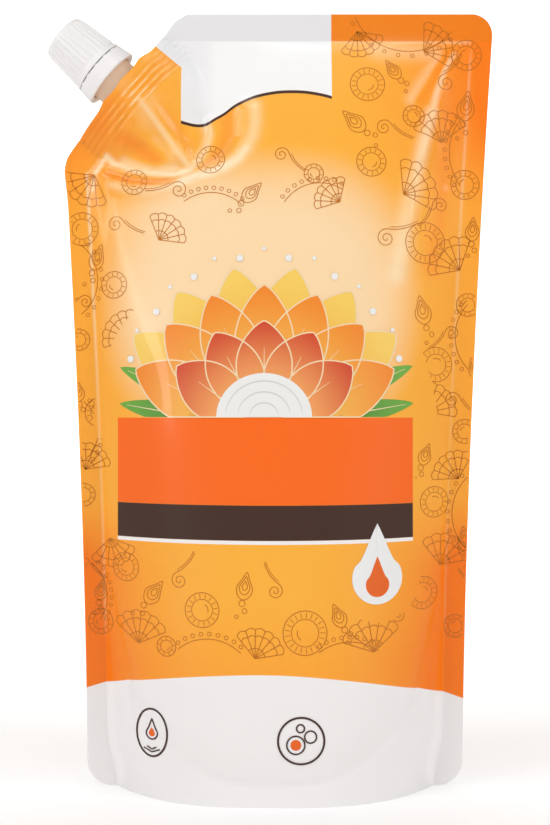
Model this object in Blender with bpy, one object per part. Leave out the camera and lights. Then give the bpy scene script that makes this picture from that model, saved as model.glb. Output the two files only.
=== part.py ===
"""Hand soap refill pack: a stand-up film pouch with a screw-capped spout welded into its cut corner.

The front of the pack faces -Y and the spout is at the upper left (-X, +Z). Lengths are in millimetres
in the dimensions below and are turned into metres by MM where the meshes are made.
"""

import math

import bpy
import bmesh
import numpy as np
from mathutils import Matrix

MM = 0.001

# Pouch. The film is 125 mm wide laid flat, and drawn in at the foot by the filling.
POUCH_H = 218.0
HALF_W_BASE = 53.0        # half width over the side seals at the floor
HALF_W_GAIN = 8.85        # what the half width gains up to the top edge, where the pouch is flat
W_POWER = 1.65
SIDE_SEAL = 5.8
TOP_SEAL = 7.7
SEAL_T = 0.8              # thickness of a welded seal
TOP_R = 6.3               # rounded top corner
BASE_R = 7.2              # rounded bottom corners

# Filling: how far the film stands out from the middle plane.
BELLY = 28.2
BELLY_POWER = 0.85
BASE_OPEN = 44.0          # half width of the opening under the pouch
SKIRT_T = 0.7             # the skirt is front film and gusset film welded together
SKIRT_END = 0.7           # weld between the end of the opening and the side seal
SKIRT_H = 16.0            # above this height the side seals have their full width
GUSSET_MID = 5.8          # height of the gusset weld in the middle of the front
GUSSET_SIDE = 34.0        # height of the gusset fold at the side seals
GUSSET_POWER = 2.6
FLAT_SHARE = 0.55         # share of the opening where the gusset lies flat on the floor
SWELL = 1.25              # the film bulges a little over the gusset weld

# Spout: its axis leans to the left, square to the cut corner.
TILT = math.radians(41.0)  # how far the axis rises above level
OUT_X = -math.cos(TILT)
OUT_Z = math.sin(TILT)
EDGE_DOWN = 19.7          # the axis crosses the film's edge this far below the top edge
EDGE_IN = 16.1            # and this far inside the straight side
CORNER_DOWN = 53.0        # the corner is cut from here up
BOAT_LEN = 15.6           # half length of the boat-shaped foot
BOAT_HALF = 6.7           # its half width at the neck
BOAT_TOP = -2.5           # heights along the axis, 0 at the film's edge
BOAT_BOTTOM = -10.2
BOAT_FILM = 0.9           # film and clearance over the foot
CLEAR = 0.3               # gap between pieces that touch or slide
NECK_R = 6.7
BORE_R = 4.3
FINISH_R = 5.3            # the threaded part of the neck
BEAD_R = 7.5
BEAD_LOW = 4.0
NECK_TOP = 18.2
THREAD_PITCH = 2.7
THREAD_CREST = 5.65
THREAD_LOW = 9.3
THREAD_TURNS = 2.2

# Tamper band and cap.
BAND_LOW = 2.1
BAND_HIGH = 6.6
BAND_R = 8.9
CAP_LOW = 6.9
CAP_TOP = 21.1
CAP_ROOF = 1.4
CAP_R_LOW = 7.85
CAP_R_HIGH = 6.85
CAP_WALL = 0.95
FLARE_R = 8.25
RIBS = 32
RIB_DEPTH = 0.32
LINER_R = 5.45
LINER_T = 0.7


# %% Scene

for old in list(bpy.data.objects):
    bpy.data.objects.remove(old, do_unlink=True)

pack = bpy.data.collections.new("hand_soap_refill_pack")
bpy.context.scene.collection.children.link(pack)
cutters = bpy.data.collections.new("cutters")
bpy.context.scene.collection.children.link(cutters)


def material(name, colour, roughness, coat=0.0):
    made = bpy.data.materials.new(name)
    made.use_nodes = True
    shader = made.node_tree.nodes["Principled BSDF"]
    shader.inputs["Base Color"].default_value = (*colour, 1.0)
    shader.inputs["Roughness"].default_value = roughness
    shader.inputs["Metallic"].default_value = 0.0
    shader.inputs["Coat Weight"].default_value = coat
    return made


FILM = material("printed_film", (0.91, 0.37, 0.06), 0.28, 0.4)
SPOUT_PE = material("natural_polyethylene", (0.80, 0.66, 0.52), 0.4)
BAND_PE = material("white_band", (0.88, 0.87, 0.85), 0.4)
CAP_PE = material("white_cap", (0.89, 0.88, 0.87), 0.38)
LINER_PE = material("liner_foam", (0.82, 0.82, 0.80), 0.6)


def mesh_object(name, verts, faces, paint, home=pack, place=None):
    """A closed mesh from points in millimetres, with its faces turned outwards."""
    mesh = bpy.data.meshes.new(name)
    mesh.from_pydata([tuple(c * MM for c in v) for v in verts], [], faces)
    bm = bmesh.new()
    bm.from_mesh(mesh)
    bmesh.ops.recalc_face_normals(bm, faces=bm.faces)
    bm.to_mesh(mesh)
    bm.free()
    obj = bpy.data.objects.new(name, mesh)
    if paint is not None:
        mesh.materials.append(paint)
    home.objects.link(obj)
    if place is not None:
        obj.matrix_world = place
    return obj


def cut(obj, tool, operation="DIFFERENCE"):
    step = obj.modifiers.new(operation.lower() + "_" + tool.name, "BOOLEAN")
    step.operation = operation
    step.solver = "EXACT"
    step.object = tool
    tool.hide_render = True
    tool.display_type = "WIRE"


def smooth(t):
    t = np.clip(t, 0.0, 1.0)
    return t * t * (3.0 - 2.0 * t)


def half_width(z):
    return HALF_W_BASE + HALF_W_GAIN * (np.maximum(z, 0.0) / POUCH_H) ** W_POWER


EDGE_Z = POUCH_H - EDGE_DOWN
EDGE_X = EDGE_IN - float(half_width(EDGE_Z))

# The spout's own frame: X along the cut corner, Y to the back, Z out of the spout.
SPOUT_FRAME = Matrix((
    (OUT_Z, 0.0, OUT_X, EDGE_X * MM),
    (0.0, 1.0, 0.0, 0.0),
    (-OUT_X, 0.0, OUT_Z, EDGE_Z * MM),
    (0.0, 0.0, 0.0, 1.0),
))


# %% Form of the pouch

# Edge of the cut corner, from the side seal to the top edge. It swings in on both sides of the neck.
# Each point is a height below the top edge and how far the edge lies inside the straight side there.
CORNER = np.array([
    (CORNER_DOWN, 0.0), (48.2, -0.3), (44.2, -0.5), (40.9, 0.4), (38.3, 2.2), (34.8, 5.0),
    (31.1, 8.3), (28.4, 10.8), (25.2, 12.6), (EDGE_DOWN, EDGE_IN), (13.6, 23.0), (11.3, 26.5),
    (8.6, 28.3), (5.4, 30.8), (1.9, 33.5), (0.0, 37.1),
])


def right_edge(z):
    x = half_width(z)
    low = np.clip(BASE_R - z, 0.0, BASE_R)
    high = np.clip(z - (POUCH_H - TOP_R), 0.0, TOP_R)
    x = x - (BASE_R - np.sqrt(BASE_R ** 2 - low ** 2))
    return x - (TOP_R - np.sqrt(TOP_R ** 2 - high ** 2))


def left_edge(z):
    low = np.clip(BASE_R - z, 0.0, BASE_R)
    side = -half_width(z) + (BASE_R - np.sqrt(BASE_R ** 2 - low ** 2))
    return side + np.interp(z, POUCH_H - CORNER[:, 0], CORNER[:, 1])


def seal_inset(z):
    """Half width to the inner line of the side seals, which starts beside the opening under the pouch."""
    full = half_width(z) - SIDE_SEAL
    start = BASE_OPEN + SKIRT_END
    return start + (full - start) * smooth(z / SKIRT_H)


def along_corner(x, z):
    return OUT_Z * (x - EDGE_X) - OUT_X * (z - EDGE_Z)


def below_edge(x, z):
    return -OUT_X * (x - EDGE_X) - OUT_Z * (z - EDGE_Z)


def corner_line(r, z):
    """x of the line that runs r below the cut corner's edge, at height z."""
    return EDGE_X - (r + OUT_Z * (z - EDGE_Z)) / OUT_X


def gusset_weld(x):
    return GUSSET_MID + (GUSSET_SIDE - GUSSET_MID) * np.minimum(np.abs(x) / BASE_OPEN, 1.0) ** GUSSET_POWER


def line_distance(x, z, points):
    best = np.full(np.shape(x), 1e9)
    for (ax, az), (bx, bz) in zip(points[:-1], points[1:]):
        length = (bx - ax) ** 2 + (bz - az) ** 2
        t = np.clip(((x - ax) * (bx - ax) + (z - az) * (bz - az)) / length, 0.0, 1.0)
        best = np.minimum(best, np.hypot(x - ax - t * (bx - ax), z - az - t * (bz - az)))
    return best


# Soft folds of the film: points as x, z, then the height (down is a valley) and the width of each. Those
# by the spout are measured from where its axis leaves the film, those on the right from the top corner.
EAR = SIDE_SEAL / 2.0
SIDE_FOLDS = [
    ([(side * (BASE_OPEN + 0.7 - 0.1 * EAR), 46.5), (side * (BASE_OPEN - EAR), 33.0),
      (side * (BASE_OPEN - 1.7 * EAR), 23.0)], -0.8, 2.7)
    for side in (-1.0, 1.0)
]


def by_spout(*points):
    return [(EDGE_X + dx, EDGE_Z + dz) for dx, dz in points]


def by_corner(*points):
    side = float(half_width(POUCH_H))
    return [(side + dx, POUCH_H + dz) for dx, dz in points]


FRONT_FOLDS = SIDE_FOLDS + [
    (by_spout((-4.3, -21.6), (4.1, -24.6), (11.9, -25.8), (20.5, -24.9), (23.8, -19.5), (24.9, -15.0),
              (24.4, -11.0)), -1.2, 2.4),
    (by_spout((21.7, -26.7), (28.6, -21.9), (31.8, -16.0), (31.8, -10.0)), -0.7, 2.6),
    (by_spout((0.5, -28.8), (11.9, -31.0), (21.7, -29.4), (31.5, -25.1), (37.0, -17.0), (37.4, -8.6)),
     0.8, 2.9),
    (by_spout((8.6, -6.0), (15.2, -15.4), (20.2, -23.2)), 1.2, 2.8),
    (by_spout((1.4, -12.6), (5.2, -18.4)), -0.7, 4.0),
    (by_corner((-12.5, -8.4), (-21.0, -17.7)), -0.7, 3.0),
    (by_corner((-9.5, -10.4), (-16.7, -26.9), (-20.9, -40.5)), 1.1, 2.6),
    (by_corner((-20.9, -40.5), (-24.2, -53.7), (-26.4, -69.9)), 0.9, 3.6),
]
BACK_FOLDS = SIDE_FOLDS + [
    (by_spout((-0.6, -22.2), (10.2, -26.4), (19.7, -24.6), (25.3, -15.5)), -0.7, 2.7),
    (by_corner((-14.5, -14.3), (-19.9, -31.3), (-21.7, -57.2)), 0.6, 3.2),
]
WELD_DEPTH = 9.8          # how far the ribbed weld over the foot runs in from the cut edge
RIB_PITCH = 1.8
FIRST_RIB = 2.9


def depth(x, z, folds):
    """How far the film stands out from the middle plane at x, z."""
    left = np.maximum(-seal_inset(z), corner_line(WELD_DEPTH, z))
    right = seal_inset(z)
    middle = 0.5 * (left + right)
    u = np.clip((x - middle) / (0.5 * (right - left)), -1.0, 1.0)
    rise = np.clip(z / (POUCH_H - TOP_SEAL), 0.0, 1.0)
    power = 3.0 - 0.8 * smooth(z / (0.33 * POUCH_H))
    across = 1.0 - np.abs(u) ** power
    belly = BELLY * (1.0 - rise ** 2) ** BELLY_POWER * across
    over = z - gusset_weld(x)
    swell = smooth(over / 10.7) * np.exp(-(np.maximum(over, 0.0) / 30.0) ** 2)
    swell = swell - 0.35 * np.exp(-(over / 3.1) ** 2)
    belly = belly + SWELL * swell * across
    q = along_corner(x, z)
    r = below_edge(x, z)
    boat = (BOAT_HALF + BOAT_FILM) * np.clip(1.0 - (q / (1.2 * BOAT_LEN)) ** 2, 0.0, 1.0) ** 0.9
    boat = boat * (1.0 - smooth((r + BOAT_BOTTOM - 0.2) / 34.0))
    body = (np.maximum(belly, 0.0) ** 5 + np.maximum(boat, 0.0) ** 5) ** 0.2
    inside = smooth(body / 3.6)
    for points, height, width in folds:
        body = body + height * inside * np.exp(-(line_distance(x, z, points) / width) ** 2)
    ribs = 0.2 * np.cos(2.0 * math.pi * (r - FIRST_RIB) / RIB_PITCH)
    ribs = ribs * smooth((r - FIRST_RIB + 0.6) / 0.5) * smooth((WELD_DEPTH + 0.6 - r) / 0.5)
    ribs = ribs * smooth((1.37 * BOAT_LEN - np.abs(q)) / 2.7) * (z > 0.78 * POUCH_H)
    return SEAL_T / 2.0 + np.maximum(body, 0.0) + ribs


# %% Pouch

BODY_LOW = 59.0
SHOULDER = POUCH_H - CORNER_DOWN + 4.0
ROWS = np.concatenate([
    np.array([0.0, 0.09, 0.28, 0.6, 1.0]) * BASE_R,
    np.array([11.0, 16.0, 21.4, 27.0, 32.6, 38.4, 44.7, 51.8]),
    np.linspace(BODY_LOW, SHOULDER, 15),
    np.arange(SHOULDER + 3.0, POUCH_H - TOP_SEAL - 1.0, 2.7),
    POUCH_H - TOP_SEAL * np.array([1.0, 0.73, 0.49, 0.27, 0.09, 0.0]),
])
WELD_LINES = [FIRST_RIB + 0.5 * RIB_PITCH * i for i in range(9)]
BELLY_COLUMNS = 22


def row_points(z):
    """x of every column at height z: left seal with the weld lines, belly, right seal."""
    z = np.float64(z)
    inner = float(seal_inset(z))
    edge = float(half_width(z))
    band = edge - inner
    xs = [float(left_edge(z))]
    low = min(z, BASE_R)
    pinch = float(BASE_R - math.sqrt(BASE_R ** 2 - (BASE_R - low) ** 2))
    start = edge - pinch
    for i, r in enumerate(WELD_LINES):
        f = (i + 1.0) / len(WELD_LINES)
        side = -start + (start - inner) * f
        xs.append(max(side, float(corner_line(r, z))))
    right_in = inner
    left_in = xs[-1]
    for i in range(1, BELLY_COLUMNS):
        t = i / BELLY_COLUMNS
        t = t - 0.035 * math.sin(2.0 * math.pi * t)
        xs.append(left_in + (right_in - left_in) * t)
    end = float(right_edge(z))
    xs.append(right_in)
    xs.append(right_in + 0.5 * (end - right_in))
    xs.append(end)
    for i in range(1, len(xs)):
        xs[i] = max(xs[i], xs[i - 1] + 0.25)
    return xs


grid_x = np.array([row_points(z) for z in ROWS])
grid_z = np.repeat(ROWS[:, None], grid_x.shape[1], axis=1)
front = -depth(grid_x, grid_z, FRONT_FOLDS)
back = depth(grid_x, grid_z, BACK_FOLDS)
rows, columns = grid_x.shape

verts = []
faces = []


def add(x, y, z):
    verts.append((float(x), float(y), float(z)))
    return len(verts) - 1


F = [[add(grid_x[i, j], front[i, j], grid_z[i, j]) for j in range(columns)] for i in range(rows)]
B = [[add(grid_x[i, j], back[i, j], grid_z[i, j]) for j in range(columns)] for i in range(rows)]
for i in range(rows - 1):
    for j in range(columns - 1):
        faces.append((F[i][j], F[i][j + 1], F[i + 1][j + 1], F[i + 1][j]))
        faces.append((B[i][j + 1], B[i][j], B[i + 1][j], B[i + 1][j + 1]))
    faces.append((B[i][0], F[i][0], F[i + 1][0], B[i + 1][0]))
    faces.append((F[i][-1], B[i][-1], B[i + 1][-1], F[i + 1][-1]))
for j in range(columns - 1):
    faces.append((F[-1][j], F[-1][j + 1], B[-1][j + 1], B[-1][j]))

# Under the pouch: the skirt's inner wall goes up to the gusset weld, and the gusset comes back down.
FIRST = len(WELD_LINES) + 1      # the first column inside the left seal
LAST = FIRST + BELLY_COLUMNS - 2
WALL = 4
SAG = 8
STEPS = 2 * (WALL + SAG)


def gusset_middle(x):
    t = np.clip((abs(x) / BASE_OPEN - FLAT_SHARE) / (1.0 - FLAT_SHARE), 0.0, 1.0)
    return (GUSSET_SIDE - 1.0) * t ** 1.7


def under_points(x, folds, sign):
    """From the floor up the skirt's inner wall, then along the gusset to the middle."""
    top = float(gusset_weld(np.float64(x)))
    mid = float(gusset_middle(x))
    points = []
    for k in range(WALL + 1):
        z = top * k / WALL
        y = float(depth(np.float64(x), np.float64(z), folds)) - SKIRT_T
        points.append((x, sign * y, z))
    y_top = abs(points[-1][1])
    for k in range(1, SAG + 1):
        t = 1.0 - k / SAG
        rise = max(0.0, (t - 0.4) / 0.6) ** 1.7
        points.append((x, sign * y_top * t, mid + (top - mid) * rise))
    return points


under = []
for j in range(FIRST, LAST + 1):
    x = grid_x[0, j]
    near = under_points(x, FRONT_FOLDS, -1.0)
    far = under_points(x, BACK_FOLDS, 1.0)
    under.append([add(*p) for p in near + far[-2::-1]])
ends = []
for sign in (-1.0, 1.0):
    line = []
    for k in range(WALL + 1):
        z = (GUSSET_SIDE - 1.5) * k / WALL
        line.append(add(sign * BASE_OPEN, 0.0, z))
    for k in range(1, SAG + 1):
        z = GUSSET_SIDE - 1.5 + 0.5 * k / SAG
        line.append(add(sign * BASE_OPEN, 0.0, z))
    ends.append(line + line[-2::-1])
strip = [ends[0]] + under + [ends[1]]
for a, b in zip(strip[:-1], strip[1:]):
    for k in range(STEPS):
        ring = [a[k], b[k], b[k + 1], a[k + 1]]
        ring = [v for n, v in enumerate(ring) if v not in ring[:n]]
        if len(ring) > 2:
            faces.append(tuple(ring[::-1]))

# The floor edge of the skirts, and the welded corners beside the opening.
for j in range(FIRST, LAST):
    a = under[j - FIRST]
    b = under[j - FIRST + 1]
    faces.append((F[0][j + 1], F[0][j], a[0], b[0]))
    faces.append((B[0][j], B[0][j + 1], b[-1], a[-1]))
left_end, right_end = ends[0][0], ends[1][0]
faces.append((F[0][FIRST], F[0][FIRST - 1], left_end, under[0][0]))
faces.append((B[0][FIRST - 1], B[0][FIRST], under[0][-1], left_end))
faces.append((F[0][FIRST - 1], B[0][FIRST - 1], left_end))
faces.append((F[0][LAST + 1], F[0][LAST], under[-1][0], right_end))
faces.append((B[0][LAST], B[0][LAST + 1], right_end, under[-1][-1]))
faces.append((B[0][LAST + 1], F[0][LAST + 1], right_end))
for j in list(range(0, FIRST - 1)) + list(range(LAST + 1, columns - 1)):
    faces.append((F[0][j + 1], F[0][j], B[0][j], B[0][j + 1]))

pouch = mesh_object("pouch", verts, faces, FILM)


# %% Spout

def boat_outline(grow):
    """Pointed oval of the foot, seen along the spout."""
    points = []
    count = 18
    for side in (1.0, -1.0):
        for i in range(count):
            q = math.cos(math.pi * i / count) * side
            half = BOAT_HALF * (1.0 - q * q) ** 0.75
            points.append((q * (BOAT_LEN + grow), side * (half + grow * math.sqrt(max(1.0 - q * q, 0.0)))))
    return points


def boat(name, grow, low, high, paint, home):
    outline = boat_outline(grow)
    n = len(outline)
    points = [(x, y, low) for x, y in outline] + [(x, y, high) for x, y in outline]
    skin = [tuple(range(n))[::-1], tuple(range(n, 2 * n))]
    skin += [(i, (i + 1) % n, n + (i + 1) % n, n + i) for i in range(n)]
    return mesh_object(name, points, skin, paint, home, SPOUT_FRAME)


def turned(name, profile, segments, paint, home=pack):
    """A closed profile of (radius, height) swept once round the spout's axis."""
    points = []
    skin = []
    n = len(profile)
    for s in range(segments):
        a = 2.0 * math.pi * s / segments
        points += [(radius * math.cos(a), radius * math.sin(a), height) for radius, height in profile]
    for s in range(segments):
        t = (s + 1) % segments
        for k in range(n):
            m = (k + 1) % n
            skin.append((s * n + k, t * n + k, t * n + m, s * n + m))
    return mesh_object(name, points, skin, paint, home, SPOUT_FRAME)


def turned_solid(name, profile, segments, home=cutters):
    """A solid turned from (radius, height) pairs, flat at both ends."""
    points = []
    n = len(profile)
    angles = [2.0 * math.pi * i / segments for i in range(segments)]
    for radius, height in profile:
        points += [(radius * math.cos(a), radius * math.sin(a), height) for a in angles]
    skin = [tuple(range(segments))[::-1], tuple(range((n - 1) * segments, n * segments))]
    for k in range(n - 1):
        low = k * segments
        high = low + segments
        for i in range(segments):
            j = (i + 1) % segments
            skin.append((low + i, low + j, high + j, high + i))
    return mesh_object(name, points, skin, None, home, SPOUT_FRAME)


def cylinder(name, radius, low, high, segments, home=cutters):
    return turned_solid(name, [(radius, low), (radius, high)], segments, home)


# Foot first, then the turned neck joined on, then the bore through both.
spout = boat("spout", 0.0, BOAT_BOTTOM, BOAT_TOP, SPOUT_PE, pack)
neck = turned_solid("neck_turning", [
    (NECK_R - 0.5, BOAT_TOP - 2.7), (NECK_R - 0.1, BOAT_TOP - 0.5), (NECK_R, BOAT_TOP + 0.9),
    (NECK_R, BEAD_LOW - 0.4), (BEAD_R, BEAD_LOW), (BEAD_R, BEAD_LOW + 0.5),
    (FINISH_R + 0.35, BAND_HIGH - 1.0), (FINISH_R, BAND_HIGH - 0.5), (FINISH_R, NECK_TOP - 0.55),
    (FINISH_R - 0.45, NECK_TOP),
], 48)
cut(spout, neck, "UNION")

# One ridge of the thread winds round the neck a little over twice.
steps = int(24 * THREAD_TURNS)
ridge_v = []
ridge_f = []
for s in range(steps + 1):
    a = 2.0 * math.pi * s / 24.0
    h = THREAD_LOW + THREAD_PITCH * s / 24.0
    fade = smooth(min(s, steps - s) / 4.0)
    crest = FINISH_R - 0.2 + (THREAD_CREST - FINISH_R + 0.2) * (0.15 + 0.85 * float(fade))
    for radius, lift in ((FINISH_R - 0.4, -0.7), (crest, -0.27), (crest, 0.27), (FINISH_R - 0.4, 0.7)):
        ridge_v.append((radius * math.cos(a), radius * math.sin(a), h + lift))
for s in range(steps):
    for k in range(4):
        m = (k + 1) % 4
        ridge_f.append((4 * s + k, 4 * s + 4 + k, 4 * s + 4 + m, 4 * s + m))
ridge_f.append((0, 1, 2, 3))
ridge_f.append((4 * steps + 3, 4 * steps + 2, 4 * steps + 1, 4 * steps))
ridge = mesh_object("thread_ridge", ridge_v, ridge_f, None, cutters, SPOUT_FRAME)
cut(spout, ridge, "UNION")
bore = cylinder("bore_cutter", BORE_R, BOAT_BOTTOM - 2.0, NECK_TOP + 2.0, 48)
cut(spout, bore)

# The pouch has room for the foot and the root of the neck.
foot_room = boat("foot_room", CLEAR, BOAT_BOTTOM - CLEAR, BOAT_TOP + CLEAR, None, cutters)
neck_room = cylinder("neck_room", NECK_R + CLEAR, BOAT_TOP - 1.0, CAP_LOW, 48)
cut(pouch, foot_room)
cut(pouch, neck_room)


# %% Tamper band, cap and liner

band = turned("tamper_band", [
    (NECK_R + CLEAR, BAND_LOW + 0.4), (NECK_R + 0.8, BAND_LOW), (BAND_R - 0.2, BAND_LOW),
    (BAND_R, BAND_LOW + 0.35), (BAND_R - 0.15, BAND_LOW + 1.4), (FLARE_R + 0.05, BAND_HIGH),
    (BEAD_R + CLEAR, BAND_HIGH),
    (BEAD_R + CLEAR, BEAD_LOW - 0.4), (NECK_R + CLEAR, BEAD_LOW - 0.9),
], 48, BAND_PE)

# The cap is lofted from rings of 96 points, three for each grip rib.
PER_RIB = 3
AROUND = RIBS * PER_RIB


def cap_ring(radius, height, rib):
    ring = []
    for i in range(AROUND):
        a = 2.0 * math.pi * i / AROUND
        r = radius + (RIB_DEPTH * rib if i % PER_RIB == 0 else 0.0)
        ring.append((r * math.cos(a), r * math.sin(a), height))
    return ring


outer = [
    (FLARE_R, CAP_LOW, 0.0), (FLARE_R, CAP_LOW + 0.55, 0.0), (CAP_R_LOW, CAP_LOW + 1.4, 0.0),
    (CAP_R_LOW - 0.2, CAP_LOW + 2.1, 1.0), (CAP_R_HIGH - 0.1, CAP_TOP - 1.7, 1.0),
    (CAP_R_HIGH - 0.15, CAP_TOP - 1.1, 0.0), (CAP_R_HIGH - 0.5, CAP_TOP - 0.5, 0.0),
    (CAP_R_HIGH - 1.3, CAP_TOP - 0.22, 0.0),
]
inner = [
    (CAP_R_HIGH - CAP_WALL, CAP_TOP - CAP_ROOF, 0.0), (CAP_R_LOW - CAP_WALL - 0.1, CAP_LOW + 0.6, 0.0),
    (CAP_R_LOW - CAP_WALL + 0.15, CAP_LOW, 0.0),
]
cap_v = []
for radius, height, rib in outer:
    cap_v += cap_ring(radius, height, rib)
crown = len(cap_v)
cap_v.append((0.0, 0.0, CAP_TOP))
first_inner = len(cap_v)
for radius, height, rib in inner:
    cap_v += cap_ring(radius, height, rib)
cap_f = []


def loft(low, high):
    for i in range(AROUND):
        j = (i + 1) % AROUND
        cap_f.append((low + i, low + j, high + j, high + i))


for k in range(len(outer) - 1):
    loft(k * AROUND, (k + 1) * AROUND)
top_ring = (len(outer) - 1) * AROUND
for i in range(AROUND):
    cap_f.append((top_ring + i, top_ring + (i + 1) % AROUND, crown))
cap_f.append(tuple(first_inner + i for i in range(AROUND)))
loft(first_inner, first_inner + AROUND)
loft(first_inner + AROUND, first_inner + 2 * AROUND)
loft(first_inner + 2 * AROUND, 0)
cap = mesh_object("screw_cap", cap_v, cap_f, CAP_PE, pack, SPOUT_FRAME)

liner_low = NECK_TOP + 0.2
liner = cylinder("cap_liner", LINER_R, liner_low, liner_low + LINER_T, 40, pack)
liner.data.materials.append(LINER_PE)

cutters.hide_render = True
for tool in cutters.objects:
    tool.hide_render = True
    tool.display_type = "WIRE"
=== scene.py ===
# %% [markdown]
# # A hand soap refill pack
#
# The pack is a stand-up pouch of printed film with a ribbed screw cap on a spout in its cut corner. The
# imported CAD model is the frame: it says where everything is and what moves. The film is made again here
# from the same rules as the CAD, on a finer mesh, and the print is laid on it.

# %%
from math import acos, cos, pi, radians, sin

import bmesh
import bpy
import numpy as np
from mathutils import Matrix, Vector


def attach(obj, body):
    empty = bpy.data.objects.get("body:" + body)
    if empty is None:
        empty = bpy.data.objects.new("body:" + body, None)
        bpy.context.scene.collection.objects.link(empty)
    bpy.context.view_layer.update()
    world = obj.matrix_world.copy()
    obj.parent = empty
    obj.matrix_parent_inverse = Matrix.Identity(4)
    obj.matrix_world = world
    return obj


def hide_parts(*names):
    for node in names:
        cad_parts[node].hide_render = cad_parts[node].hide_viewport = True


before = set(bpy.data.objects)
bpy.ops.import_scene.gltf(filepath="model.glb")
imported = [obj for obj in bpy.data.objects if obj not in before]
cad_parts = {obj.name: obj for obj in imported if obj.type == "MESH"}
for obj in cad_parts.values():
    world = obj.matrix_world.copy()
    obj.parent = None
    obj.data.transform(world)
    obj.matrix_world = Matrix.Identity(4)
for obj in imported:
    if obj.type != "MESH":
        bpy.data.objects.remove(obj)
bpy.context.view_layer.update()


# %% [markdown]
# Sizes are in millimetres and are those of the CAD part, so the film here lies where the frame's film lies.

# %%
MM = 0.001
FULL = 2 * pi
POUCH_H = 218
HALF_W_BASE = 53
HALF_W_GAIN = 8.85
W_POWER = 1.65
SIDE_SEAL = 5.8
TOP_SEAL = 7.7
SEAL_T = 0.8
TOP_R = 6.3
BASE_R = 7.2
BELLY = 28.2
BELLY_POWER = 0.85
BASE_OPEN = 44
SKIRT_T = 0.7
SKIRT_END = 0.7
SKIRT_H = 16
GUSSET_MID = 5.8
GUSSET_SIDE = 34
GUSSET_POWER = 2.6
FLAT_SHARE = 0.55
SWELL = 1.25
TILT = radians(41)
OUT_X = -cos(TILT)
OUT_Z = sin(TILT)
EDGE_DOWN = 19.7
EDGE_IN = 16.1
CORNER_DOWN = 53
BOAT_LEN = 15.6
BOAT_HALF = 6.7
BOAT_BOTTOM = -10.2
BOAT_FILM = 0.9
WELD_DEPTH = 9.8
RIB_PITCH = 1.8
FIRST_RIB = 2.9


def smooth(t):
    t = np.clip(t, 0, 1)
    return t * t * (3 - 2 * t)


def half_width(z):
    return HALF_W_BASE + HALF_W_GAIN * (np.maximum(z, 0) / POUCH_H) ** W_POWER


EDGE_Z = POUCH_H - EDGE_DOWN
EDGE_X = EDGE_IN - float(half_width(EDGE_Z))
SPOUT_FRAME = Matrix((
    (OUT_Z, 0, OUT_X, EDGE_X * MM),
    (0, 1, 0, 0),
    (-OUT_X, 0, OUT_Z, EDGE_Z * MM),
    (0, 0, 0, 1),
))
print("spout leaves the film at", round(EDGE_X, 2), round(EDGE_Z, 2))

# %% [markdown]
# The outline comes first: the side seals draw in towards the floor, because the filling rounds the pouch,
# and the upper left corner is cut off, with a swing on both sides of the neck.

# %%
CORNER = np.array([
    (CORNER_DOWN, 0), (48.2, -0.3), (44.2, -0.5), (40.9, 0.4), (38.3, 2.2), (34.8, 5),
    (31.1, 8.3), (28.4, 10.8), (25.2, 12.6), (EDGE_DOWN, EDGE_IN), (13.6, 23), (11.3, 26.5),
    (8.6, 28.3), (5.4, 30.8), (1.9, 33.5), (0, 37.1),
])
NECK_DIP = 1.6            # the film's edge dips a little over the neck
DIP_REACH = 6.5


def drawn_in(radius, part):
    """How far a corner of this radius has drawn in at a part of its height."""
    part = np.clip(part, 0, radius)
    return radius - np.sqrt(radius ** 2 - part ** 2)


def right_edge(z):
    return half_width(z) - drawn_in(BASE_R, BASE_R - z) - drawn_in(TOP_R, z - (POUCH_H - TOP_R))


def left_edge(z):
    """The side seal, then the cut corner, with its bends eased over a millimetre."""
    reach = np.clip(POUCH_H - z, 0, 0.8)
    steps = (-1, -0.5, 0, 0.5, 1)
    swing = sum(np.interp(z + d * reach, POUCH_H - CORNER[:, 0], CORNER[:, 1]) for d in steps)
    dip = NECK_DIP * smooth(1 - ((z - EDGE_Z) / DIP_REACH) ** 2)
    return -half_width(z) + drawn_in(BASE_R, BASE_R - z) + swing / len(steps) + dip


def seal_inset(z):
    start = BASE_OPEN + SKIRT_END
    return start + (half_width(z) - SIDE_SEAL - start) * smooth(z / SKIRT_H)


def along_corner(x, z):
    return OUT_Z * (x - EDGE_X) - OUT_X * (z - EDGE_Z)


def below_edge(x, z):
    return -OUT_X * (x - EDGE_X) - OUT_Z * (z - EDGE_Z)


def corner_line(r, z):
    return EDGE_X - (r + OUT_Z * (z - EDGE_Z)) / OUT_X


def gusset_weld(x):
    out = np.minimum(np.abs(x) / BASE_OPEN, 1)
    return GUSSET_MID + (GUSSET_SIDE - GUSSET_MID) * out ** GUSSET_POWER


print("width at the floor and the top", [round(2 * float(half_width(z)), 1) for z in (0, POUCH_H)])

# %% [markdown]
# Folds are soft valleys and ridges along short lines. Each has its points on the flat film, a height (down
# is a valley) and a width. The points are measured from the spout, from the top right corner or from the
# middle of the base. The coarse folds are those of the CAD, the fine ones are only here.

# %%
EAR = SIDE_SEAL / 2
SIDE_FOLDS = [
    ([(side * (BASE_OPEN + 0.7 - 0.1 * EAR), 46.5), (side * (BASE_OPEN - EAR), 33),
      (side * (BASE_OPEN - 1.7 * EAR), 23)], -0.8, 2.7)
    for side in (-1, 1)
]


def by_spout(dx, dz):
    return EDGE_X + dx, EDGE_Z + dz


def by_corner(dx, dz):
    return float(half_width(POUCH_H)) + dx, POUCH_H + dz


def placed(at, rows):
    """The rows with their points moved to where they are measured from."""
    return [([at(*point) for point in points], *rest) for points, *rest in rows]


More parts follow.
